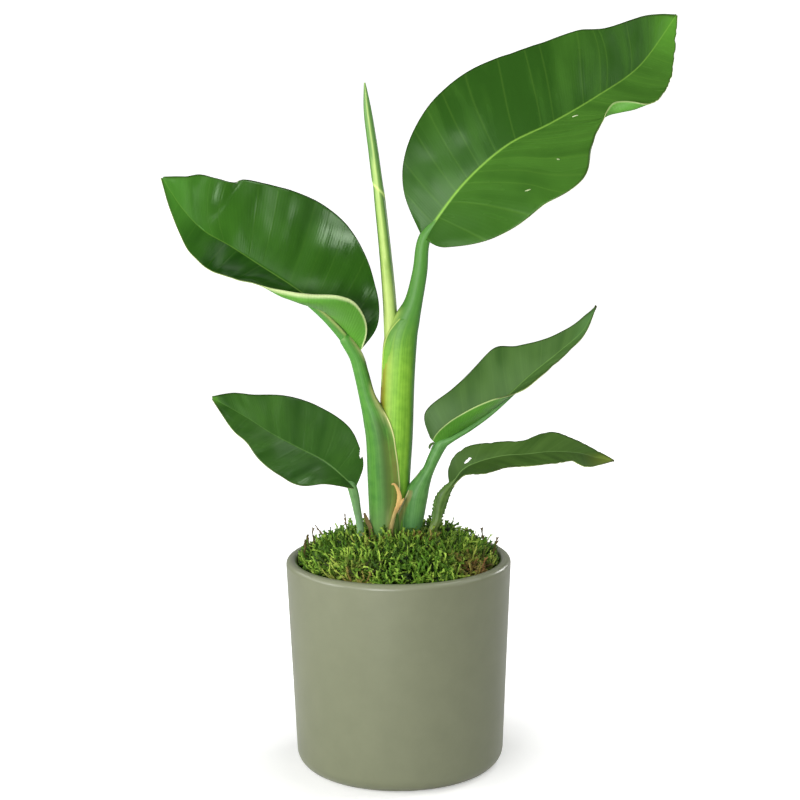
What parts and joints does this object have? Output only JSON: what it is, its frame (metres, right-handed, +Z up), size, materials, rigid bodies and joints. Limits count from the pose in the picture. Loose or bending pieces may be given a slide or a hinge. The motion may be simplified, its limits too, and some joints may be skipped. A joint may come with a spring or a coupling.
{
  "type": "potted bird of paradise",
  "caption": "Young bird of paradise plant with broad paddle leaves and a rolled new leaf, standing in moss in a round matte ceramic pot.",
  "frame": {"origin": "centre of the pot's flat base, where it stands", "axes": "+Z up, along the pot's axis; -Y to the front, the side that the plant's fan of leaves faces; +X to the right as seen from the front"},
  "size_m": [0.3642, 0.165, 0.5459],
  "materials": {
    "pot": "matte sage-green glaze",
    "soil": "dark crumbly potting soil",
    "moss": "living moss of fine curled strands",
    "leaf": "smooth waxy leaf",
    "rolled_leaf": "pale new leaf, waxy",
    "dry_sheath": "dry, papery"
  },
  "bodies": {
    "root": {"pot": "pot", "soil": "soil", "moss": "moss", "leaf_upper_right": "leaf", "leaf_upper_left": "leaf", "leaf_middle_right": "leaf", "leaf_lower_right": "leaf", "leaf_lower_left": "leaf", "rolled_leaf": "rolled_leaf", "dry_sheath_front": "dry_sheath", "dry_sheath_left": "dry_sheath"}
  },
  "joints": []
}
